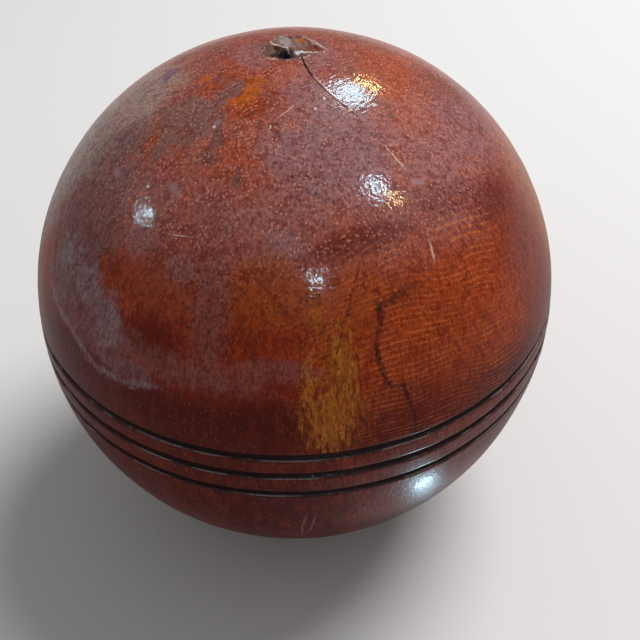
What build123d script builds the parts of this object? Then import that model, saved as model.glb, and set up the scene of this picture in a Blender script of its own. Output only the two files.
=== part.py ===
"""Turned wooden ball with three cut grooves, a torn lathe centre and a drying split.

The ball is one piece of hardwood, turned between centres. The frame's origin is the centre of
the ball, and +Z runs along the lathe axis and the grain, out through the torn centre. The split
runs from there towards -Y and +X. Sizes are in millimetres.
"""

import os
from math import degrees, hypot, radians, tan

from build123d import *

# The turned ball
ball_diameter = 92.0

# The grooves, cut square to the surface by a tool with a narrow flat nose; the spacings run along
# the surface from the middle groove, on the equator
groove_width = 1.4
groove_floor_width = 0.35
groove_depth = 0.65
upper_groove_spacing = 3.85
lower_groove_spacing = 4.3

# The conical hole that the lathe centre left on the axis, before the wood round it tore out
centre_hole_diameter = 3.2
centre_hole_angle = 60.0

# The end grain torn out round the hole, seen from above: its jagged outline, and the hollows in
# it, each with its place, width and depth
torn_outline = [
    (-3.9, 2.6),
    (-2.2, 3.8),
    (-2.1, 6.1),
    (0.2, 7.8),
    (2.7, 7.1),
    (4.2, 4.8),
    (6.3, 1.2),
    (5.2, -0.5),
    (3.1, -1.4),
    (2.0, -2.8),
    (-1.2, -2.6),
    (-3.2, -1.2),
]
torn_hollows = [
    ((-2.3, 1.0), 5.6, 0.65),
    ((0.6, 5.0), 6.8, 0.6),
    ((3.7, 2.2), 6.6, 0.55),
    ((0.7, -0.6), 5.6, 0.75),
]

# The split, a narrow cut along the grain that closes to a point; its course is seen from above
split_width = 0.35
split_depth = 0.7
split_end_depth = 0.2
split_course = [(2.3, -1.2), (3.2, -5.0), (4.8, -8.9), (7.6, -12.6), (11.3, -16.4)]

ball_radius = ball_diameter / 2


def scoop_radius(width, depth):
    """The radius of a round-bottomed scoop from its width at the surface and its depth."""
    return (width**2 / 4 + depth**2) / (2 * depth)


def radius_through(place, distance):
    """The point at a distance from the ball's centre, on the radius through a place seen from above."""
    x, y = place
    height = (ball_radius**2 - x**2 - y**2) ** 0.5
    return Vector(x, y, height).normalized() * distance


def split_edge(side):
    """One edge of the split: its course, moved half its width to that side, up to its point."""
    edge = []
    for place, following in zip(split_course, split_course[1:]):
        run_x, run_y = following[0] - place[0], following[1] - place[1]
        reach = side * split_width / 2 / hypot(run_x, run_y)
        edge.append((place[0] - run_y * reach, place[1] + run_x * reach))
    return [*edge, split_course[-1]]


# The torn wood: shallow hollows square to the surface, which meet in ridges, inside the outline
with BuildPart() as torn_cutter:
    for place, width, depth in torn_hollows:
        radius = scoop_radius(width, depth)
        with Locations(radius_through(place, ball_radius - depth + radius)):
            Sphere(radius)
    with BuildSketch():
        with BuildLine():
            Polyline(*torn_outline, close=True)
        make_face()
    extrude(amount=ball_diameter, mode=Mode.INTERSECT)

# The split's cutter: a thin blade down the grain, over a round floor that rises towards the point
split_tip_reach = hypot(*split_course[-1])
floor_shift = (split_depth - split_end_depth) * ball_radius / split_tip_reach
floor_centre = Vector(*split_course[-1]).normalized() * floor_shift

with BuildPart() as split_cutter:
    with BuildSketch():
        with BuildLine():
            left_edge = Spline(*split_edge(1))
            right_edge = Spline(*split_edge(-1))
            Line(left_edge @ 0, right_edge @ 0)
        make_face()
    extrude(amount=ball_radius)
    with Locations(floor_centre):
        Sphere(ball_radius - split_depth, mode=Mode.SUBTRACT)

# The ball: half its section, with the grooves and the hole cut in, turned about the lathe axis.
# Each cutting shape stands as far out of the surface as it is deep, with its sides carried on.
upper_groove_angle = degrees(upper_groove_spacing / ball_radius)
lower_groove_angle = degrees(lower_groove_spacing / ball_radius)
half_floor = groove_floor_width / 2
half_mouth = groove_width - half_floor
centre_hole_depth = centre_hole_diameter / 2 / tan(radians(centre_hole_angle / 2))

with BuildPart() as ball:
    with BuildSketch(Plane.XZ):
        with BuildLine():
            CenterArc((0, 0), ball_radius, -90, 180)
            Line((0, -ball_radius), (0, ball_radius))
        make_face()
        for angle in (upper_groove_angle, 0, -lower_groove_angle):
            with PolarLocations(ball_radius, 1, start_angle=angle):
                Polygon(
                    (-groove_depth, half_floor),
                    (-groove_depth, -half_floor),
                    (groove_depth, -half_mouth),
                    (groove_depth, half_mouth),
                    align=None,
                    mode=Mode.SUBTRACT,
                )
        with Locations((0, ball_radius)):
            Polygon(
                (0, -centre_hole_depth),
                (centre_hole_diameter, centre_hole_depth),
                (0, centre_hole_depth),
                align=None,
                mode=Mode.SUBTRACT,
            )
    revolve(axis=Axis.Z)

    add(torn_cutter.part, mode=Mode.SUBTRACT)
    add(split_cutter.part, mode=Mode.SUBTRACT)

ball.part.label = "ball"

os.makedirs("parts", exist_ok=True)
export_step(ball.part, "parts/ball.step")
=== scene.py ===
"""The look of an old turned and varnished wooden ball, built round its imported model.

Lengths are in millimetres until a mesh, lamp or camera is made. A place on the ball is a longitude
and a latitude in degrees: longitude 0 is the -Y side, which the camera sees, and grows towards +X;
latitude 90 is the torn lathe centre, on +Z. A turn is anticlockwise, seen from outside.
"""

import math

import bpy
import numpy as np
from mathutils import Matrix, Vector


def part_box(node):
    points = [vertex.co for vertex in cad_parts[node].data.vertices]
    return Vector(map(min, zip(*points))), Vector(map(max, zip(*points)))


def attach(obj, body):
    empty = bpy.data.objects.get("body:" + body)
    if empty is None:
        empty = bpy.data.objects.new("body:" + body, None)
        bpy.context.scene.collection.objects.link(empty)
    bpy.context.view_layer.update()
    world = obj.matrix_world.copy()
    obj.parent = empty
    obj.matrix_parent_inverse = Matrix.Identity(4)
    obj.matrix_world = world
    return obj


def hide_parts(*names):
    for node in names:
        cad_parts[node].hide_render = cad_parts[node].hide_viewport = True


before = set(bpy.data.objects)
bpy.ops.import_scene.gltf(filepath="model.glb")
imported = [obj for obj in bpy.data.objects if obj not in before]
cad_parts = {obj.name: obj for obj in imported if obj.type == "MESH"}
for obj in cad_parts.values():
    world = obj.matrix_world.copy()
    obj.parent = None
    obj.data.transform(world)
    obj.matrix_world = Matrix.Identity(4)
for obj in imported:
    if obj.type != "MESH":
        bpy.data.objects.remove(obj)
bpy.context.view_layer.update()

MM = 0.001

# The ball's radius, from its lowest point: its top is torn away
radius = -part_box("ball")[0][2] / MM

# The camera, as the photograph's outline of the ball and its pole and grooves place it
CAMERA_RISE = 38.85
CAMERA_ROLL = 2.44
CAMERA_DISTANCE = 3.84 * radius
OUTLINE_MIDDLE_PX = (294.9, 282.0)
OUTLINE_RADIUS_PX = 256.7
FRAME_PX = 640.0
SENSOR = 36.0

rise, roll = math.radians(CAMERA_RISE), math.radians(CAMERA_ROLL)
toward_camera = Vector((0, -math.cos(rise), math.sin(rise)))
level_up = Vector((0, math.sin(rise), math.cos(rise)))
level_right = Vector((1, 0, 0))
camera_right = math.cos(roll) * level_right - math.sin(roll) * level_up
camera_up = math.sin(roll) * level_right + math.cos(roll) * level_up
camera_spot = toward_camera * CAMERA_DISTANCE
focal_px = OUTLINE_RADIUS_PX * math.sqrt((CAMERA_DISTANCE / radius) ** 2 - 1)

# Relief cut into the wood, as in the part's source, but for the hole, which is a little narrower
GROOVE_ARCS = (3.85, 0.0, -4.3)
GROOVE_WIDTH = 1.4
GROOVE_FLOOR = 0.35
GROOVE_DEPTH = 0.65
HOLE_RADIUS = 1.45
HOLE_DEPTH = 2.77
TORN_OUTLINE = [
    (-3.9, 2.6), (-2.2, 3.8), (-2.1, 6.1), (0.2, 7.8), (2.7, 7.1), (4.2, 4.8),
    (6.3, 1.2), (5.2, -0.5), (3.1, -1.4), (2.0, -2.8), (-1.2, -2.6), (-3.2, -1.2),
]
TORN_HOLLOWS = [
    ((-2.3, 1.0), 5.6, 0.65),
    ((0.6, 5.0), 6.8, 0.6),
    ((3.7, 2.2), 6.6, 0.55),
    ((0.7, -0.6), 5.6, 0.75),
]
SPLIT_COURSE = [(2.3, -1.2), (3.2, -5.0), (4.8, -8.9), (7.6, -12.6), (11.3, -16.4)]
SPLIT_WIDTH = 0.35
SPLIT_DEPTH = 0.7
SPLIT_END_DEPTH = 0.2

# The torn wood and the split lie above this latitude
TORN_ABOVE = 60

# How far the grooves wander, and how deep and how wide their lips are worn down
GROOVE_WANDER = 0.05
LIP_WORN = 0.05
LIP_REACH = 0.18

# How far dirt bleeds past each groove
GROOVE_BLEEDS = (0.02, 0.06, 0.1)

# Where the ball is worn flat or left full: place, reach across and rise
WORN_ROUND = [
    ((180, 66), 26.0, -0.3),
    ((55, -22), 20.0, -0.35),
    ((75, 55), 22.0, 0.35),
    ((-95, 10), 16.0, 0.2),
]

# Knocks: place, width and depth
DENTS = [
    ((-36, 52), 3.4, 0.12),
    ((-60, 49), 3.0, 0.12),
    ((39, 51), 2.6, 0.12),
    ((12, 40), 2.2, 0.12),
    ((-32, 65), 5.0, 0.1),
    ((-64, 27), 9.0, 0.16),
    ((-42, 25), 8.0, 0.16),
    ((150, 30), 5.0, 0.15),
    ((-150, 48), 6.0, 0.15),
    ((120, -20), 5.0, 0.12),
    ((-125, -35), 6.0, 0.15),
]

# Stains and marks, read off the photograph: the middle and half sizes of each, in its pixels
RED_STREAKS_PX = [(147, 160, 3.5, 19), (175, 168, 8, 18), (206, 91, 8, 7), (183, 205, 10, 18)]
RUBBED_PATCH_PX = [(288, 76, 17, 13)]
ORANGE_PATCHES_PX = [(245, 106, 22, 13), (218, 117, 12, 8)]
AMBER_PATCHES_PX = [(253, 86, 10, 12), (243, 102, 12, 6), (204, 79, 6, 4)]
GREY_PATCHES_PX = [(190, 118, 32, 22), (132, 137, 16, 16)]
GREY_ISLES_PX = [(235, 88, 8, 7), (223, 95, 9, 5), (159, 150, 7, 13), (229, 230, 4, 8)]
SMOKE_SPOTS_PX = [(207, 157, 10, 9), (217, 138, 7, 12), (238, 176, 4, 10), (392, 118, 4, 4)]
PURPLE_SMEAR_PX = [(169, 75, 6, 4)]
POLISHED_PX = [(310, 90, 14, 16), (330, 66, 14, 7)]
CHIPS_PX = [
    (214, 127, 1.3, 1.6), (148, 186, 1.3, 1.2), (315.5, 109, 1.4, 1.4), (270.5, 126.5, 1.0, 1.6),
    (374.5, 105.5, 2.5, 1.2), (324, 98.5, 1.2, 1.8), (350.5, 110, 1.6, 1.2),
]

# Scratches, read off the photograph: their ends, in its pixels
LOWER_TICK_PX = [(430.5, 246), (433.5, 257)]
UPPER_TICK_PX = [(389.4, 151.8), (401.8, 166.3)]

# Where the camera sees each highlight, set to match the photograph's, in its pixels
GLINT_TOP_PX = (346, 92)
GLINT_TOP_WARM_PX = (364, 84)
GLINT_RIGHT_PX = (375, 191)
GLINT_RIGHT_WARM_PX = (393, 202)
GLINT_LEFT_PX = (143.5, 212)
GLINT_MIDDLE_PX = (317, 281)
GLINT_LOW_PX = (424, 483)


def on_ball(lon, lat):
    """The unit vectors out to places on the ball."""
    lon, lat = np.radians(lon), np.radians(lat)
    across = np.cos(lat)
    return np.stack([across * np.sin(lon), -across * np.cos(lon), np.sin(lat) + 0 * lon], axis=-1)


def place_of(point):
    """The longitude and latitude of a point on the ball."""
    out = point.normalized()
    return math.degrees(math.atan2(out.x, -out.y)), math.degrees(math.asin(out.z))


def seen_at(x, y):
    """The point on the ball that the camera sees at a pixel of the photograph."""
    aside, down = x - OUTLINE_MIDDLE_PX[0], y - OUTLINE_MIDDLE_PX[1]
    ray = (camera_right * aside - camera_up * down - toward_camera * focal_px).normalized()
    nearest = -camera_spot.dot(ray)
    half_chord = math.sqrt(max(nearest**2 - camera_spot.length_squared + radius**2, 0))
    return camera_spot + ray * (nearest - half_chord)


def seen_marks(ovals):
    """Marks on the ball, from the ovals that they cover in the photograph."""
    marks = []
    for x, y, wide, high in ovals:
        out = seen_at(x, y).normalized()
        east = Vector((0, 0, 1)).cross(out).normalized()
        across = (seen_at(x + wide, y) - seen_at(x - wide, y)) / 2
        down = (seen_at(x, y + high) - seen_at(x, y - high)) / 2
        turn = math.degrees(math.atan2(across.dot(out.cross(east)), across.dot(east)))
        marks.append((*place_of(out), across.length, down.length, turn))
    return marks


def seen_line(spots):
    """Places on the ball, from a line of pixels in the photograph."""
    return [place_of(seen_at(x, y)) for x, y in spots]


def smooth(start, end, value):
    """Rises smoothly from 0 at start to 1 at end."""
    share = np.clip((value - start) / (end - start), 0, 1)
    return share * share * (3 - 2 * share)


def ripple(points, size, seed):
    """Smooth noise over points, mostly from -1 to 1, the same on every run."""
    waves = 14
    draw = np.random.default_rng(seed)
    ways = draw.normal(size=(waves, 3))
    ways *= 2 * np.pi / size / np.linalg.norm(ways, axis=1, keepdims=True)
    phases = draw.uniform(0, 2 * np.pi, waves)
    total = sum(np.sin(points @ way + phase) for way, phase in zip(ways, phases))
    return total / np.sqrt(waves)


def curve_through(points, count=60):
    """Points along a smooth curve through a few points."""
    points = np.array(points, float)
    knots = np.linspace(0, 1, len(points))
    fits = [np.polynomial.Polynomial.fit(knots, points[:, axis], 4) for axis in (0, 1)]
    steps = np.linspace(0, 1, count)
    return np.stack([fit(steps) for fit in fits], axis=-1)


def distance_to_line(spots, line):
    """The distance from each spot to a line of points, and the share of the line passed there."""
    nearest = np.full(spots.shape[:-1], np.inf)
    share = np.zeros(spots.shape[:-1])
    for index, (start, end) in enumerate(zip(line, line[1:])):
        run = end - start
        along = np.clip((spots - start) @ run / (run @ run), 0, 1)
        gap = np.linalg.norm(spots - start - along[..., None] * run, axis=-1)
        closer = gap < nearest
        nearest = np.where(closer, gap, nearest)
        share = np.where(closer, (index + along) / (len(line) - 1), share)
    return nearest, share


def depth_in_outline(spots, outline):
    """How far inside a closed outline each spot is; negative outside it."""
    outline = np.array(outline, float)
    ring = np.vstack([outline, outline[:1]])
    edge, _ = distance_to_line(spots, ring)
    inside = np.zeros(spots.shape[:-1], bool)
    for (x0, y0), (x1, y1) in zip(ring, ring[1:]):
        if y0 == y1:
            continue
        crosses = (y0 > spots[..., 1]) != (y1 > spots[..., 1])
        meets = x0 + (spots[..., 1] - y0) * (x1 - x0) / (y1 - y0)
        inside ^= crosses & (spots[..., 0] < meets)
    return np.where(inside, edge, -edge)


def groove_cut(points, arc):
    """The depth of the three grooves, cut a little unevenly by the tool and worn at the lips."""
    cut = np.zeros(arc.shape)
    for number, middle in enumerate(GROOVE_ARCS):
        aside = np.abs(arc - middle - GROOVE_WANDER * ripple(points, size=60, seed=number))
        half = GROOVE_WIDTH / 2 + GROOVE_WANDER * ripple(points, size=5, seed=10 + number)
        wall = np.clip((half - aside) / (half - GROOVE_FLOOR / 2), 0, 1)
        worn_lip = LIP_WORN * np.exp(-(((aside - half) / LIP_REACH) ** 2))
        cut = np.maximum(cut, GROOVE_DEPTH * wall + worn_lip)
    return cut


def torn_cut(points, spots):
    """The depth of the torn end grain and of the lathe centre's hole in it."""
    fray = 0.22 * ripple(points, size=1.6, seed=21) + 0.1 * ripple(points, size=0.7, seed=22)
    inside = depth_in_outline(spots, TORN_OUTLINE) + fray
    hollow = np.zeros(inside.shape)
    for middle, width, depth in TORN_HOLLOWS:
        aside = np.linalg.norm(spots - np.array(middle), axis=-1)
        hollow = np.maximum(hollow, depth * (1 - (2 * aside / width) ** 2))
    splinters = 0.07 * ripple(points * (1, 0.35, 1), size=1.0, seed=23)
    splinters += 0.02 * ripple(points, size=0.6, seed=24)
    cut = smooth(-0.05, 0.22, inside) * np.maximum(hollow + splinters, 0.06)
    raised_lip = 0.07 * np.exp(-(((inside + 0.12) / 0.2) ** 2))
    from_axis = np.linalg.norm(spots, axis=-1) * (1 + 0.2 * ripple(points, size=2.2, seed=25))
    hole = HOLE_DEPTH * (1 - from_axis / HOLE_RADIUS)
    return np.maximum(cut - raised_lip, hole)


def split_cut(points, spots):
    """The depth of the drying split, with its lips a little lifted."""
    aside, share = distance_to_line(spots, curve_through(SPLIT_COURSE))
    # It is narrow where it leaves the torn wood, and narrows again to its point
    opened = np.clip(0.45 + 2 * share, 0, 1) * np.clip((1.05 - share) / 0.7, 0.1, 1)
    half = SPLIT_WIDTH / 2 * opened * (1 + 0.25 * ripple(points, size=1.5, seed=31))
    depth = SPLIT_DEPTH + (SPLIT_END_DEPTH - SPLIT_DEPTH) * share
    cut = depth * np.clip(1.25 - aside / np.maximum(half, 0.02), 0, 1)
    lifted = 0.03 * (1 - share) * np.exp(-((aside - half - 0.12) / 0.12) ** 2)
    return np.where(share < 1, cut - lifted, 0)


def surface(lon, lat):
    """Points on the ball's real surface, in millimetres."""
    out = on_ball(lon, lat)
    points = out * radius
    arc = radius * np.radians(lat) + 0 * lon
    rise = 0.03 * ripple(points, size=16, seed=1) + 0.012 * ripple(points, size=5, seed=2)
    for place, reach, height in WORN_ROUND:
        gap = np.linalg.norm(points - on_ball(*place) * radius, axis=-1)
        rise += height * np.exp(-((gap / reach) ** 2))
    for place, width, depth in DENTS:
        gap = np.linalg.norm(points - on_ball(*place) * radius, axis=-1)
        rise -= depth * np.exp(-((2 * gap / width) ** 2))
    rise -= groove_cut(points, arc)
    top = np.broadcast_to(lat > TORN_ABOVE, rise.shape)
    spots = points[top][:, :2]
    rise[top] -= torn_cut(points[top], spots) + split_cut(points[top], spots)
    return out * (radius + rise)[..., None]


def steps(*stretches):
    """Values along stretches, each a start, an end and the most that a step may be."""
    values = []
    for start, end, step in stretches:
        count = math.ceil(abs(end - start) / step)
        values.extend(np.linspace(start, end, count, endpoint=False))
    return np.array(values)


def ball_mesh():
    """The skin of the ball: rings of latitude, close together where there is relief."""
    degree = math.degrees(1 / radius)
    band = 6.4 * degree
    # From the top down: the torn wood, the split, the plain upper half, the grooves and the rest
    lats = steps(
        (89.9, 79.5, 0.13 * degree),
        (79.5, 63.0, 0.33 * degree),
        (63.0, band, 1.1 * degree),
        (band, -band, 0.165 * degree),
        (-band, -89.0, 1.5 * degree),
    )
    # Closest where the split runs, and widest at the back
    lons = steps((-100, 20, 1.1), (20, 64, 0.36), (64, 100, 1.1), (100, 260, 1.8))
    rings = surface(lons[None, :], lats[:, None])
    poles = surface(np.array([0.0, 0.0]), np.array([90.0, -90.0]))
    count = len(lons)
    first = np.arange(len(lats) - 1)[:, None] * count
    here = np.arange(count)[None, :]
    beside = (here + 1) % count
    quads = np.stack([first + here, first + count + here, first + count + beside, first + beside], -1)
    total = len(lats) * count
    top = [(total, int(a), int(b)) for a, b in zip(here[0], beside[0])]
    last = total - count
    bottom = [(total + 1, int(last + b), int(last + a)) for a, b in zip(here[0], beside[0])]
    vertices = np.vstack([rings.reshape(-1, 3), poles]) * MM
    mesh = bpy.data.meshes.new("varnished_ball")
    mesh.from_pydata(vertices.tolist(), [], quads.reshape(-1, 4).tolist() + top + bottom)
    mesh.validate()
    mesh.shade_smooth()
    return mesh


def srgb(red, green, blue):
    """A colour given as it looks on a screen, 0 to 255, as Blender's linear colour."""
    def linear(value):
        value /= 255
        return value / 12.92 if value <= 0.04045 else ((value + 0.055) / 1.055) ** 2.4
    return (linear(red), linear(green), linear(blue), 1.0)


# The length, in half widths of a mark, past which its ragged edge never reaches
FAR = 1.9


class Shader:
    """Adds nodes to a material; each call gives back the new node's output socket."""

    def __init__(self, name):
        self.material = bpy.data.materials.new(name)
        self.material.use_nodes = True
        self.tree = self.material.node_tree
        self.surface = self.tree.nodes["Principled BSDF"]
        spot = self.add("ShaderNodeTexCoord", {}, "Object")
        self.place = self.add("ShaderNodeVectorMath", {0: spot, "Scale": 1 / MM}, operation="SCALE")
        parts = self.tree.nodes.new("ShaderNodeSeparateXYZ")
        self.tree.links.new(self.place, parts.inputs[0])
        self.x, self.y, self.z = parts.outputs
        self.fine = self.noise(0.34, (1, 1, 2), detail=2, rough=0.7)
        self.grain = self.noise(0.55, (1, 1, 5), detail=3, rough=0.65)
        self.mottle = self.noise(2.4, detail=5, rough=0.68)
        self.cloud = self.noise(7, detail=3, rough=0.6)
        self.worn = self.fade(self.grain, 0.3, 0.58, 0.66, 1.0)

    def add(self, kind, inputs, output=0, **settings):
        """A node with these settings and inputs."""
        node = self.tree.nodes.new(kind)
        for name, value in settings.items():
            setattr(node, name, value)
        for key, value in inputs.items():
            self.put(node.inputs[key], value)
        return node.outputs[output]

    def put(self, socket, value):
        """Links a socket, or sets its value."""
        if isinstance(value, bpy.types.NodeSocket):
            self.tree.links.new(value, socket)
        else:
            socket.default_value = value

    def calc(self, operation, *values):
        """One sum."""
        return self.add("ShaderNodeMath", dict(enumerate(values)), operation=operation)

    def fade(self, value, start, end, low=0.0, high=1.0):
        """Goes smoothly from low at start to high at end."""
        inputs = {0: value, 1: start, 2: end, 3: low, 4: high}
        return self.add("ShaderNodeMapRange", inputs, interpolation_type="SMOOTHSTEP")

    def blend(self, share, base, over, mode="MIX"):
        """One colour over another."""
        inputs = {0: share, 6: base, 7: over}
        return self.add("ShaderNodeMix", inputs, 2, data_type="RGBA", blend_type=mode)

    def noise(self, size, stretch=(1, 1, 1), detail=2.0, rough=0.5, place=None):
        """Noise from 0 to 1, of blobs about this size, stretched along each axis."""
        scale = tuple(1 / (size * s) for s in stretch)
        spot = self.add("ShaderNodeMapping", {0: place or self.place, 3: scale}, vector_type="POINT")
        inputs = {"Vector": spot, "Scale": 1.0, "Detail": detail, "Roughness": rough}
        return self.add("ShaderNodeTexNoise", inputs)

    def cells(self, size, stretch):
        """The distance to scattered points, about this far apart."""
        scale = tuple(1 / (size * s) for s in stretch)
        spot = self.add("ShaderNodeMapping", {0: self.place, 3: scale}, vector_type="POINT")
        return self.add("ShaderNodeTexVoronoi", {"Vector": spot, "Scale": 1.0}, "Distance")

    def away(self, nearness):
        """Turns a round gradient back into a length: 0 in its middle, and 2 at most."""
        return self.calc("MULTIPLY_ADD", nearness, -2.0, 2.0)

    def nearness(self, place, middle, spin, scale):
        """A round gradient in an oval: 1 in its middle, a half at its edge, 0 at twice its size."""
        inputs = {0: place, 1: middle, 2: spin, 3: [2 * size for size in scale]}
        local = self.add("ShaderNodeMapping", inputs, vector_type="TEXTURE")
        return self.add("ShaderNodeTexGradient", {0: local}, 1, gradient_type="SPHERICAL")

    def reach(self, marks):
        """How far out from the nearest mark a point is: 0 at its middle and 1 at its edge.

        A mark is an oval on the ball: its place, half its width and height, and its turn."""
        nearest = None
        for lon, lat, wide, high, turn in marks:
            out = Vector(on_ball(lon, lat))
            east = Vector((0, 0, 1)).cross(out).normalized()
            north = out.cross(east)
            turned = Matrix.Rotation(math.radians(turn), 3, out)
            axes = Matrix((turned @ east, turned @ north, out)).transposed()
            near = self.nearness(self.place, out * radius, axes.to_euler(), (wide, high, radius))
            nearest = near if nearest is None else self.calc("MAXIMUM", nearest, near)
        return self.away(nearest)

    def patch(self, marks, edge, ragged, soft):
        """A mask over marks, with their edges moved in and out by noise."""
        length = self.reach(marks)
        moved = self.calc("MULTIPLY_ADD", self.calc("SUBTRACT", edge, 0.5), ragged, length)
        near = self.calc("LESS_THAN", length, FAR)
        return self.calc("MULTIPLY", self.fade(moved, 1 + soft, 1 - soft), near)

    def paint(self, colour, layers):
        """Paints patches over a colour, worn through in short strokes along the grain.

        A layer is a tint, its strength, an edge noise, how ragged and soft the edge is, and marks."""
        for tint, strength, edge, ragged, soft, marks in layers:
            mask = self.calc("MULTIPLY", self.patch(marks, edge, ragged, soft), self.worn)
            colour = self.blend(self.calc("MULTIPLY", mask, strength), colour, tint)
        return colour


def strokes(points, half_width, end_width=None):
    """Marks that make a line through places on the ball, which may narrow towards its end."""
    marks = []
    widths = np.linspace(half_width, end_width or half_width, len(points) - 1)
    for (lon0, lat0), (lon1, lat1), width in zip(points, points[1:], widths):
        lon, lat = (lon0 + lon1) / 2, (lat0 + lat1) / 2
        east = (lon1 - lon0) * math.cos(math.radians(lat))
        north = lat1 - lat0
        half_length = math.radians(math.hypot(east, north)) * radius / 2
        turn = math.degrees(math.atan2(north, east))
        marks.append((lon, lat, half_length * 1.25 + width, width, turn))
    return marks


UNDERSIDE = srgb(72, 14, 8)
MAROON = srgb(88, 18, 7)
CHESTNUT = srgb(162, 60, 24)
RUSSET = srgb(194, 114, 94)
RUST = srgb(170, 78, 50)
DEEP_RED = srgb(110, 28, 12)
RED_BROWN = srgb(126, 58, 44)
ORANGE = srgb(178, 74, 26)
RED_ORANGE = srgb(186, 84, 44)
AMBER = srgb(204, 106, 30)
OCHRE_BROWN = srgb(172, 78, 18)
OCHRE = srgb(178, 100, 20)
TAN = srgb(164, 92, 44)
MAUVE = srgb(148, 98, 94)
VEIL_AND_SHEEN = srgb(166, 126, 132)
MAUVE_GREY = srgb(138, 106, 108)
LILAC = srgb(160, 136, 142)
GREY_BROWN = srgb(138, 108, 102)
SMOKE = srgb(112, 90, 86)
GREY_BEIGE = srgb(182, 166, 156)
FLECK = srgb(222, 158, 140)
FIGURE = srgb(214, 116, 58)
PALE = srgb(214, 186, 170)
BONE = srgb(236, 226, 218)
STONE = srgb(160, 150, 148)
PURPLE = srgb(102, 62, 118)
PAINTED_GLINT = srgb(226, 232, 244)
UMBER = srgb(112, 80, 68)
PIT = srgb(50, 30, 32)
BLACK = srgb(24, 19, 21)
DIRT = srgb(38, 29, 30)
GOLD = srgb(208, 134, 48)
FIBRE_SHADE = srgb(212, 194, 197)

# The stains above the underside's, lighter upwards and so partly painted shade: each comes in over this
# stretch of height
STAIN_AND_SHADE_BANDS = [
    (MAROON, -9, 2),
    (CHESTNUT, 9, 19),
    (RUSSET, 24, 35),
    (RUST, 42, 45),
]

# The light lines across the grain are this far apart
FIGURE_SPACING = 0.72


def wood_colour(s):
    """The stained wood under the varnish, in long blotches. It is darker towards the underside, partly as
    painted shade, and has a mauve haze on the upper half that is partly a painted reflection.
    """
    blotch = s.noise(20, (1, 1, 1.7), detail=2)
    # Painted shade in part: the colour darkens from the top down to the underside
    colour = UNDERSIDE
    for tint, start, end in STAIN_AND_SHADE_BANDS:
        colour = s.blend(s.fade(s.z, start, end), colour, tint)
    blotchy = s.calc("MULTIPLY", s.fade(blotch, 0.45, 0.68, 0.0, 0.45), s.fade(s.z, -6, 8, 0.25, 1.0))
    colour = s.blend(blotchy, colour, ORANGE)
    uneven = s.noise(2.2, (1, 1, 2.8), detail=4, rough=0.6)
    upper = s.fade(s.z, 18, 30, 0.3, 1.0)
    colour = s.blend(s.calc("MULTIPLY", s.fade(uneven, 0.5, 0.64, 0.0, 0.5), upper), colour, RED_ORANGE)
    colour = s.blend(s.calc("MULTIPLY", s.fade(uneven, 0.48, 0.36, 0.0, 0.45), upper), colour, DEEP_RED)
    # Painted reflection in part: a mauve haze over the upper half only
    cloudy = s.calc("MULTIPLY", s.fade(s.cloud, 0.4, 0.62, 0.08, 0.5), s.fade(s.z, 22, 32))
    return s.blend(cloudy, colour, MAUVE)


def front_stain(s, colour):
    """The lighter and darker stretches of stain on the side that the camera sees, with a tan patch on the
    right rim painted as a reflection.
    """
    return s.paint(colour, [
        (MAROON, 0.9, s.grain, 1.2, 0.4, [(-42, 9, 24, 6, 0), (-8, 11, 7, 5, 0), (40, 8, 20, 3, 0)]),
        (RUST, 0.8, s.mottle, 1.0, 0.4, [(-30, 36, 6, 6.5, 0), (-10, 84, 9, 3, 0), (-24, 46, 6, 4, 0)]),
        (OCHRE_BROWN, 0.9, s.grain, 1.0, 0.4, [(-7, 37, 6.5, 5, 0), (14, 35, 4, 4, 0)]),
        (ORANGE, 0.65, s.grain, 1.0, 0.4, [(30, 27, 17, 13, 0), (32, 38, 9, 5, 0)]),
        (DEEP_RED, 0.85, s.grain, 1.3, 0.4, [
            (17, 44.5, 8, 2.2, 4), (58, 40, 5, 3, 0), (-30, 25, 5, 3.4, 0),
        ]),
        (DEEP_RED, 0.7, s.grain, 1.6, 0.4, [(24, 11, 6, 4, 0), (46, 45, 7, 2.5, -20)]),
        (RED_BROWN, 0.8, s.mottle, 0.9, 0.5, [(64, 25, 8, 13, 0)]),
        (MAUVE, 0.45, s.grain, 1.0, 0.5, [(32, -3, 19, 6, 0)]),
        # Painted reflection: the tan patch on the right rim
        (TAN, 0.85, s.grain, 0.9, 0.5, [(84, 27, 8, 13, 0)]),
        (RED_BROWN, 0.7, s.mottle, 1.0, 0.5, [(88, 52, 8, 8, 0)]),
        (RED_ORANGE, 0.9, s.mottle, 0.9, 0.3, [(78, 70, 7, 4.2, 0), (-50, 56, 6, 1.6, -25)]),
        (RED_ORANGE, 0.9, s.mottle, 2.2, 0.3, seen_marks(RED_STREAKS_PX)),
        (RED_ORANGE, 0.8, s.mottle, 1.4, 0.3, [(-18, 58, 7, 5, 0), (-55, 80, 5, 2, 0)]),
        (RUSSET, 0.7, s.mottle, 1.4, 0.3, seen_marks(RUBBED_PATCH_PX)),
        (ORANGE, 0.9, s.mottle, 2.0, 0.3, seen_marks(ORANGE_PATCHES_PX)),
        (AMBER, 0.85, s.mottle, 2.0, 0.35, seen_marks(AMBER_PATCHES_PX)),
        (OCHRE, 0.8, s.grain, 3.6, 0.5, [(6, 14, 4.2, 5.4, 0), (8, 24, 2.2, 5.6, 0), (4, 33, 1.4, 3, 0)]),
        (GOLD, 0.6, s.grain, 6.0, 0.3, [(5, 14, 2.8, 4.6, 0), (9, 23, 1.5, 4.5, 0), (2, 21, 1, 4, 0)]),
    ])


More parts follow.
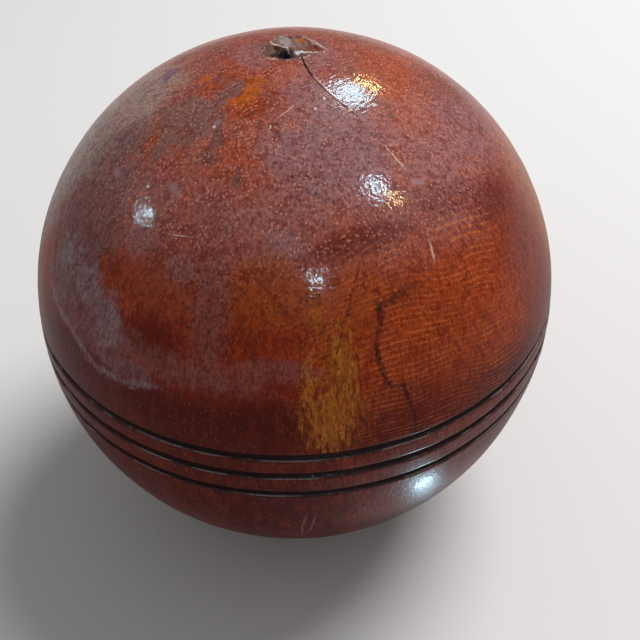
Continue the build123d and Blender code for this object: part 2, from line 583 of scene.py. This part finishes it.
def fibres(s, colour):
    """Fibres, short flecks and open vessel lines along the grain."""
    streak = s.noise(0.5, (1, 1, 16), detail=2, rough=0.6)
    depth = s.fade(s.mottle, 0.35, 0.65, 0.35, 1.0)
    darker = s.calc("MULTIPLY", s.fade(s.fine, 0.58, 0.4), depth)
    colour = s.blend(darker, colour, FIBRE_SHADE, "MULTIPLY")
    lighter = s.calc("MULTIPLY", s.fade(s.grain, 0.5, 0.7), depth)
    colour = s.blend(s.calc("MULTIPLY", lighter, 0.4), colour, FIGURE, "SOFT_LIGHT")
    colour = s.blend(s.fade(streak, 0.56, 0.36, 0.0, 0.4), colour, UNDERSIDE)
    band = s.noise(1.4, (1, 1, 9), detail=2, rough=0.6)
    colour = s.blend(s.fade(band, 0.5, 0.34, 0.0, 0.45), colour, DEEP_RED)
    vessel = s.fade(s.noise(0.26, (1, 1, 9), detail=1), 0.62, 0.68, 0.0, 0.5)
    return s.blend(vessel, colour, PIT)


def ripple_figure(s, colour):
    """Fine broken light lines across the grain, slightly arched, right of the middle."""
    arch = s.calc("MULTIPLY", s.calc("POWER", s.calc("SUBTRACT", s.x, 14), 2.0), 0.01)
    height = s.calc("ADD", s.z, arch)
    height = s.calc("MULTIPLY_ADD", s.noise(11, detail=0), 3.2, height)
    height = s.calc("MULTIPLY_ADD", s.mottle, 0.5, height)
    wave = s.calc("SINE", s.calc("MULTIPLY", height, 2 * math.pi / FIGURE_SPACING))
    broken = s.noise(0.5, (11, 11, 1), detail=3, rough=0.6)
    line = s.fade(s.calc("MULTIPLY_ADD", broken, 3.2, wave), 2.05, 2.7)
    where = s.patch([(28, 27, 17, 17, 0), (40, 38, 9, 7, 0)], s.mottle, 1.6, 0.4)
    strong = s.calc("MULTIPLY", where, s.fade(s.cloud, 0.4, 0.62, 0.35, 0.75))
    return s.blend(s.calc("MULTIPLY", line, strong), colour, FIGURE)


def dark_seams(s, colour):
    """The thin dark checks in the figure."""
    hook = strokes([(26, 34.2), (22, 33.8), (18.6, 32.8)], 0.6)
    seam = strokes([
        (17.2, 32.6), (17, 29.5), (15.6, 27), (15.4, 24.5),
        (15.6, 22), (16.3, 19.5), (17.4, 17.6), (19.8, 17),
    ], 0.42)
    tail = strokes([(19.8, 17), (20.5, 14.5), (21.5, 10.8), (21.7, 6)], 0.3)
    hair = strokes([(14.6, 40), (12.7, 37), (10.5, 32.6), (9, 29.5), (7.5, 25.7), (6.5, 20)], 0.16)
    patchy = s.fade(s.mottle, 0.35, 0.58, 0.5, 0.95)
    for marks, strength in ((hook, 0.75), (seam, 0.95), (tail, 0.8), (hair, 0.6)):
        mask = s.calc("MULTIPLY", s.patch(marks, s.fine, 2.6, 0.9), patchy)
        colour = s.blend(s.calc("MULTIPLY", mask, strength), colour, BLACK)
    return colour


def varnish_veil_and_sheen(s, colour):
    """Old varnish gone cloudy: thin veils, partly painted reflections, and thick grey patches with crisp
    edges and a pale rim. The grey-beige on the left rim and the mauve round the low highlight are painted
    reflections.
    """
    rim = strokes([
        (-69, 26), (-66, 22), (-60, 19.5), (-52, 17.5), (-44, 14.5), (-36, 14.5), (-30, 16),
    ], 0.55)
    return s.paint(colour, [
        # Partly painted reflection: the thin veils stand in for the surroundings seen in the varnish
        (VEIL_AND_SHEEN, 0.85, s.mottle, 1.6, 0.5, [(19, 61, 9, 8, 0), (2, 62, 5, 5, 0), (26, 69, 5, 3.4, 0)]),
        (VEIL_AND_SHEEN, 0.55, s.mottle, 1.6, 0.5, [
            (70, 52, 9, 6, 0), (50, 53, 4, 4, 0), (85, 84, 6, 3, 0), (16, 75, 3.6, 4, 0),
        ]),
        (VEIL_AND_SHEEN, 0.3, s.mottle, 1.6, 0.6, [(38, 45, 10, 5, 0), (-20, 50, 12, 7, 0), (-45, 52, 6, 5, 0)]),
        (MAUVE, 0.6, s.mottle, 1.3, 0.45, [
            (-18, 31, 2.8, 9.5, 0), (-24, 21, 13, 2.4, 0), (-5, 23, 6, 1.8, 0),
        ]),
        # Painted reflection: mauve round the low highlight
        (MAUVE, 0.6, s.grain, 1.4, 0.5, [(22, -15, 9, 6, 0), (36, -17, 6, 5, 0)]),
        # Painted reflection: grey-beige along the left rim, and the pale veil at its top on the next line
        (GREY_BEIGE, 0.9, s.cloud, 1.2, 0.4, [(-86, 46, 9, 17, 0), (-90, 60, 8, 7, 0)]),
        (VEIL_AND_SHEEN, 0.5, s.mottle, 1.6, 0.6, [(-90, 84, 5, 3, 0)]),
        (GREY_BROWN, 0.8, s.mottle, 2.2, 0.25, seen_marks(GREY_PATCHES_PX)),
        (GREY_BROWN, 0.8, s.mottle, 3.0, 0.25, seen_marks(GREY_ISLES_PX)),
        (SMOKE, 0.75, s.mottle, 3.0, 0.25, seen_marks(SMOKE_SPOTS_PX)),
        (PURPLE, 0.6, s.mottle, 3.0, 0.5, seen_marks(PURPLE_SMEAR_PX)),
        (MAUVE_GREY, 0.75, s.mottle, 1.4, 0.3, [(-60, 38, 8, 11, 0), (-68, 50, 5, 5, 0)]),
        (MAUVE_GREY, 0.75, s.mottle, 1.5, 0.2, [(-50, 24, 11, 5.4, -8), (-36, 17.5, 6, 1.8, -6)]),
        (LILAC, 0.75, s.mottle, 2.6, 0.5, [
            (-60, 31, 3.4, 2.8, 0), (-50, 29, 3.4, 3, 0), (-42, 25, 3, 3.8, 0),
        ]),
        (LILAC, 0.8, s.fine, 4.5, 0.6, rim),
        (VEIL_AND_SHEEN, 0.5, s.grain, 2.0, 0.5, [(-40, 42, 3, 3, 0), (-27, 39, 2, 2, 0), (-2, 46, 3, 1.6, -30)]),
    ])


def flecks(s, colour):
    """Fine pale flecks in the upper half, partly painted glints of the varnish, and dark pits in the
    cloudy patches.
    """
    # Partly painted glints: pale flecks, strongest on the upper half
    speck = s.fade(s.cells(0.55, (1, 1, 1.6)), 0.4, 0.16)
    upper = s.fade(s.z, 25, 35, 0.08, 0.62)
    lively = s.calc("MULTIPLY", s.fade(s.mottle, 0.38, 0.56), upper)
    colour = s.blend(s.calc("MULTIPLY", speck, lively), colour, FLECK)
    pitted = s.patch([(-19, 32, 4.5, 10, 0), (-60, 28, 8, 8, 0), (10, 55, 14, 5, 0)], s.mottle, 1.5, 0.6)
    pit = s.fade(s.cells(0.95, (1, 1, 1.4)), 0.3, 0.14, 0.0, 0.65)
    return s.blend(s.calc("MULTIPLY", pit, pitted), colour, PIT)


def groove_dirt_and_lip_highlight(s):
    """Two masks: over the dirt in the grooves and just past them, and over the edge below each, where a
    pale line is painted as a highlight.
    """
    arc = s.calc("MULTIPLY", s.calc("ARCSINE", s.calc("DIVIDE", s.z, radius)), radius)
    uneven = s.noise(0.7, (2.4, 2.4, 1), detail=3, rough=0.6)
    dirt, edge = 0.0, 0.0
    for middle, bleed in zip(GROOVE_ARCS, GROOVE_BLEEDS):
        aside = s.calc("ABSOLUTE", s.calc("SUBTRACT", arc, middle))
        moved = s.calc("SUBTRACT", aside, s.calc("MULTIPLY", uneven, bleed + 0.3))
        cover = s.fade(moved, GROOVE_WIDTH / 2 + bleed - 0.05, GROOVE_WIDTH / 2 - 0.2)
        dirt = s.calc("MAXIMUM", dirt, cover)
        # Painted highlight: the mask for the pale line along the edge below each groove
        below = s.calc("SUBTRACT", arc, middle - GROOVE_WIDTH / 2 + 0.05)
        edge = s.calc("MAXIMUM", edge, s.fade(s.calc("ABSOLUTE", below), 0.15, 0.03))
    return dirt, edge


def groove_stain_and_lip_highlight(s, colour, dirt, edge):
    """Dirt in the grooves, thinner at the left, with a pale line painted as a highlight along the lower
    edge of each.
    """
    there = s.calc("MULTIPLY", s.fade(s.x, -38, -16, 0.7, 0.97), s.fade(s.fine, 0.3, 0.6, 1.0, 0.85))
    colour = s.blend(s.calc("MULTIPLY", dirt, there), colour, DIRT)
    # Painted highlight: the pale line along each groove's lower edge, broken by noise
    worn = s.calc("MULTIPLY", s.fade(s.cloud, 0.46, 0.58, 0.12, 0.8), s.fade(s.fine, 0.3, 0.5, 0.3, 0.75))
    return s.blend(s.calc("MULTIPLY", edge, worn), colour, STONE)


def torn_depth(s):
    """A mask over the wood torn out at the top."""
    from_centre = s.add("ShaderNodeVectorMath", {0: s.place}, 1, operation="LENGTH")
    return s.calc("MULTIPLY", s.fade(from_centre, radius - 0.22, radius - 0.36), s.fade(s.z, 44.3, 44.9))


def torn_colour(s, colour):
    """Bare broken wood and dirt in the torn centre. Its hole is painted near black, and two bluish-white
    spots are painted as highlights on its glossy facets.
    """
    colour = s.blend(s.calc("MULTIPLY", torn_depth(s), 0.9), colour, UMBER)
    flat = s.add("ShaderNodeCombineXYZ", {0: s.x, 1: s.y})
    raised = s.fade(s.z, radius - 4, radius - 3)
    fray = s.calc("MULTIPLY_ADD", s.calc("ADD", s.mottle, s.fine), 3.2, -3.2)
    spots = [
        (UMBER, 0.8, (0.9, 2.4, 3.8, 4.4, 0)),
        (GREY_BROWN, 0.8, (1.2, 5.0, 2.2, 2.6, 0)),
        (STONE, 0.8, (0.3, 5.0, 0.8, 2.2, 10)),
        (BONE, 0.8, (-1.3, 3.8, 1.1, 0.25, -45)),
        (BONE, 0.8, (0.0, 2.3, 1.0, 0.22, -55)),
        (PIT, 0.8, (-1.2, 2.4, 0.5, 1.1, 20)),
        (OCHRE, 0.8, (2.6, 5.6, 0.6, 1.3, 20)),
        (RED_BROWN, 0.8, (4.4, 2.6, 1.0, 1.6, 0)),
        (PALE, 0.85, (-2.2, -1.5, 1.3, 0.5, -40)),
        (PALE, 0.8, (1.4, -2.3, 1.4, 0.4, 8)),
        (PALE, 0.7, (4.8, 3.8, 0.3, 2.2, 30)),
        # The lathe centre's hole, painted near black
        (PIT, 0.95, (-0.3, 0.2, 1.5, 1.6, 0)),
        (BLACK, 0.9, (-0.1, 0.3, 0.6, 0.9, 0)),
        # Painted highlights: bluish-white glints on the glossy facets
        (PAINTED_GLINT, 0.9, (2.0, 0.6, 0.35, 0.6, 30)),
        (PAINTED_GLINT, 0.9, (2.9, 0.5, 0.4, 0.4, 0)),
        (BONE, 0.8, (3.6, 0.7, 0.5, 0.25, 10)),
        (BONE, 0.7, (4.8, 0.6, 0.4, 0.2, 10)),
    ]
    for tint, strength, (x, y, wide, high, turn) in spots:
        spin = (0, 0, math.radians(turn))
        length = s.away(s.nearness(flat, (x, y, 0), spin, (wide, high, 1)))
        near = s.calc("MULTIPLY", s.calc("LESS_THAN", length, FAR), raised)
        mask = s.calc("MULTIPLY", s.fade(s.calc("ADD", length, fray), 1.3, 0.8), near)
        colour = s.blend(s.calc("MULTIPLY", mask, strength), colour, tint)
    return colour


def split_colour(s, colour):
    """The split painted dark, with a pale broken line beside it painted as the highlight on its lifted
    lip.
    """
    places = []
    for x, y in curve_through(SPLIT_COURSE, 9):
        lon, lat = math.atan2(x, -y), math.acos(math.hypot(x, y) / radius)
        places.append((math.degrees(lon), math.degrees(lat)))
    # Painted highlight: the pale broken line on the lifted lip beside the split
    lip = strokes([(lon + 1.2, lat) for lon, lat in places[1:4]], 0.07)
    lip += strokes([(lon + 0.8, lat) for lon, lat in places[3:7]], 0.15, 0.1)
    broken = s.fade(s.mottle, 0.4, 0.55, 0.35, 0.95)
    colour = s.blend(s.calc("MULTIPLY", s.patch(lip, s.fine, 2.4, 0.5), broken), colour, BONE)
    # The split's opening, painted dark
    opening = s.patch(strokes(places, 0.1, 0.04), s.fine, 2.4, 0.6)
    return s.blend(s.calc("MULTIPLY", opening, 0.8), colour, BLACK)


def axis_distance(s):
    """How far a point is from the lathe axis."""
    return s.calc("SQRT", s.calc("ADD", s.calc("MULTIPLY", s.x, s.x), s.calc("MULTIPLY", s.y, s.y)))


def polish_lines(s, colour):
    """Fine pale lines in the veil beside the torn centre, spreading out from it."""
    round_axis = s.calc("MULTIPLY", s.calc("ARCTAN2", s.x, s.calc("MULTIPLY", s.y, -1.0)), 9.0)
    outward = s.calc("MULTIPLY", axis_distance(s), 0.12)
    spread = s.add("ShaderNodeCombineXYZ", {0: round_axis, 1: outward})
    line = s.fade(s.noise(0.4, detail=2, place=spread), 0.52, 0.62)
    where = s.patch(seen_marks(POLISHED_PX), s.mottle, 1.8, 0.6)
    return s.blend(s.calc("MULTIPLY", s.calc("MULTIPLY", line, where), 0.4), colour, LILAC)


def scuffs(s, colour):
    """Pale knocks, ticks and scratches."""
    knocks = [
        (-36, 52, 1.5, 0.6, -20), (-60, 49, 0.9, 0.5, 0),
        (38.5, 51, 1.1, 0.5, -30), (-35, 67, 0.5, 0.4, 30),
    ]
    ticks = strokes(seen_line(LOWER_TICK_PX), 0.15) + strokes(seen_line(UPPER_TICK_PX), 0.13)
    ticks += strokes([(-4, 70.4), (0, 71.6), (3, 72.6)], 0.09) + strokes([(-31, 44.4), (-27, 44.8)], 0.07)
    bruise = strokes([(0.2, -15), (-0.6, -19), (-0.8, -25)], 0.2)
    bruise += strokes([(2.0, -15), (1.6, -19), (0.6, -24)], 0.2)
    layers = [
        (LILAC, 0.6, knocks, 3.0, 0.3),
        (BONE, 0.8, seen_marks(CHIPS_PX), 3.5, 0.4),
        (PALE, 0.85, ticks, 3.4, 0.7),
        (VEIL_AND_SHEEN, 0.3, bruise, 2.4, 0.7),
    ]
    for tint, strength, marks, ragged, soft in layers:
        mask = s.calc("MULTIPLY", s.patch(marks, s.fine, ragged, soft), strength)
        colour = s.blend(mask, colour, tint)
    return colour


# The heights of the varnish's fine relief; the fibres stand out less at the top
PEEL_HEIGHT = 0.045
FINE_HEIGHT = 0.006
FIBRE_HEIGHTS = (0.004, 0.034)
TURNING_HEIGHT = 0.03


def worn_gloss(s):
    """The varnish's fine relief: orange peel, fibres showing through, and turning marks at the top."""
    aside = s.calc("MULTIPLY", s.x, 0.15)
    round_axis = s.add("ShaderNodeCombineXYZ", {0: axis_distance(s), 1: aside, 2: s.z})
    turning = s.noise(0.45, detail=1, place=round_axis)
    along = s.noise(0.3, (1, 1, 8), detail=1)
    peel = s.noise(0.7, detail=2)
    relief = s.calc("MULTIPLY", peel, PEEL_HEIGHT)
    relief = s.calc("MULTIPLY_ADD", s.fine, FINE_HEIGHT, relief)
    relief = s.calc("MULTIPLY_ADD", along, s.fade(s.z, 30, 0, *FIBRE_HEIGHTS), relief)
    relief = s.calc("MULTIPLY_ADD", turning, s.fade(s.z, 38, 43, 0.0, TURNING_HEIGHT), relief)
    return s.add("ShaderNodeBump", {"Height": relief, "Distance": MM, "Strength": 1.0})


def varnished_wood():
    """The ball's one material: stained wood with figure and fibres, under old cloudy varnish."""
    s = Shader("varnished_wood")
    dirt, edge = groove_dirt_and_lip_highlight(s)
    colour = front_stain(s, wood_colour(s))
    for layer in (ripple_figure, dark_seams, varnish_veil_and_sheen, polish_lines, fibres, flecks, scuffs):
        colour = layer(s, colour)
    colour = groove_stain_and_lip_highlight(s, colour, dirt, edge)
    for layer in (torn_colour, split_colour):
        colour = layer(s, colour)
    relief = worn_gloss(s)
    bare = s.calc("MAXIMUM", torn_depth(s), dirt)
    varnish = s.calc("MULTIPLY", s.fade(s.z, 12, 36, 0.07, 0.3), s.fade(bare, 0.0, 1.0, 1.0, 0.4))
    inputs = {
        "Base Color": colour,
        "Roughness": 0.4,
        "Specular IOR Level": 0.05,
        "Coat Weight": varnish,
        "Coat Roughness": 0.03,
        "Coat IOR": 1.5,
        "Normal": relief,
        "Coat Normal": relief,
    }
    for name, value in inputs.items():
        s.put(s.surface.inputs[name], value)
    return s.material


def build_ball():
    """The dressed ball, in place of the plain solid."""
    ball = bpy.data.objects.new("varnished_ball", ball_mesh())
    bpy.context.collection.objects.link(ball)
    ball.data.materials.append(varnished_wood())
    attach(ball, "root")
    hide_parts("ball")


def add_camera():
    """The camera, turned to the ball's centre and shifted to frame it as the photograph does."""
    data = bpy.data.cameras.new("camera")
    data.sensor_width = SENSOR
    data.lens = focal_px * SENSOR / FRAME_PX
    data.shift_x = (FRAME_PX / 2 - OUTLINE_MIDDLE_PX[0]) / FRAME_PX
    data.shift_y = (OUTLINE_MIDDLE_PX[1] - FRAME_PX / 2) / FRAME_PX
    data.clip_start = 10 * MM
    camera = bpy.data.objects.new("camera", data)
    turned = Matrix((camera_right, camera_up, toward_camera)).transposed().to_4x4()
    camera.matrix_world = Matrix.Translation(camera_spot * MM) @ turned
    bpy.context.collection.objects.link(camera)
    bpy.context.scene.camera = camera


def add_lamp(name, spot, target, size, power, tint):
    """A round soft lamp at a spot, turned to a target, in millimetres and watts."""
    data = bpy.data.lights.new(name, "AREA")
    data.shape = "DISK"
    data.size = size * MM
    data.energy = power
    data.color = tint
    lamp = bpy.data.objects.new(name, data)
    lamp.location = spot * MM
    lamp.rotation_euler = (target - spot).to_track_quat("-Z", "Y").to_euler()
    lamp.visible_camera = False
    bpy.context.collection.objects.link(lamp)
    return lamp


def add_glint(name, spot_px, away, size, power, tint):
    """A lamp seen only in the varnish, whose reflection the camera sees at a pixel."""
    place = seen_at(*spot_px)
    out = place.normalized()
    look = (camera_spot - place).normalized()
    bounce = 2 * out.dot(look) * out - look
    lamp = add_lamp(name, place + bounce * away, place, size, power, tint)
    lamp.visible_diffuse = False


# The key lamp stands high up behind the ball, to the camera's right
KEY_SPOT = Vector((430, 290, 800))
KEY_SIZE = 620
KEY_POWER = 8.2
KEY_TINT = (1.0, 0.98, 0.97)
SURROUND_STRENGTH = 0.3

# How far the lamps of the highlights stand from the ball, and their tints
GLINT_AWAY = 420
GLINT_LOW_AWAY = 36
COOL = (0.52, 0.84, 1.0)
WARM = (1.0, 0.75, 0.3)

# The floor's half width, and its gap below the CAD ball, since the dressed one reaches a little lower
FLOOR_HALF = 3000
FLOOR_GAP = 0.05


def light():
    """A pale surround, a large soft key, and small lamps for the highlights."""
    world = bpy.data.worlds.new("surround")
    world.use_nodes = True
    background = world.node_tree.nodes["Background"]
    background.inputs["Color"].default_value = srgb(240, 238, 238)
    background.inputs["Strength"].default_value = SURROUND_STRENGTH
    bpy.context.scene.world = world
    key = add_lamp("key", KEY_SPOT, Vector((0, 0, 0)), KEY_SIZE, KEY_POWER, KEY_TINT)
    key.visible_glossy = False
    add_glint("glint_top", GLINT_TOP_PX, GLINT_AWAY, 82, 0.88, COOL)
    add_glint("glint_top_warm", GLINT_TOP_WARM_PX, GLINT_AWAY, 36, 0.32, WARM)
    add_glint("glint_right", GLINT_RIGHT_PX, GLINT_AWAY, 54, 0.72, COOL)
    add_glint("glint_right_warm", GLINT_RIGHT_WARM_PX, GLINT_AWAY, 24, 0.22, WARM)
    add_glint("glint_left", GLINT_LEFT_PX, GLINT_AWAY, 28, 0.32, COOL)
    add_glint("glint_middle", GLINT_MIDDLE_PX, GLINT_AWAY, 28, 0.32, COOL)
    add_glint("glint_low", GLINT_LOW_PX, GLINT_LOW_AWAY, 7, 0.009, COOL)


def add_floor():
    """A plain pale floor under the ball."""
    half = FLOOR_HALF * MM
    level = (-radius - FLOOR_GAP) * MM
    corners = [(-half, -half, level), (half, -half, level), (half, half, level), (-half, half, level)]
    mesh = bpy.data.meshes.new("floor")
    mesh.from_pydata(corners, [], [(0, 1, 2, 3)])
    material = bpy.data.materials.new("pale_floor")
    material.use_nodes = True
    finish = material.node_tree.nodes["Principled BSDF"]
    finish.inputs["Base Color"].default_value = srgb(238, 238, 238)
    finish.inputs["Roughness"].default_value = 0.9
    finish.inputs["Specular IOR Level"].default_value = 0.2
    mesh.materials.append(material)
    floor = bpy.data.objects.new("floor", mesh)
    bpy.context.collection.objects.link(floor)


build_ball()
add_camera()
light()
add_floor()
bpy.context.scene.view_settings.view_transform = "Standard"
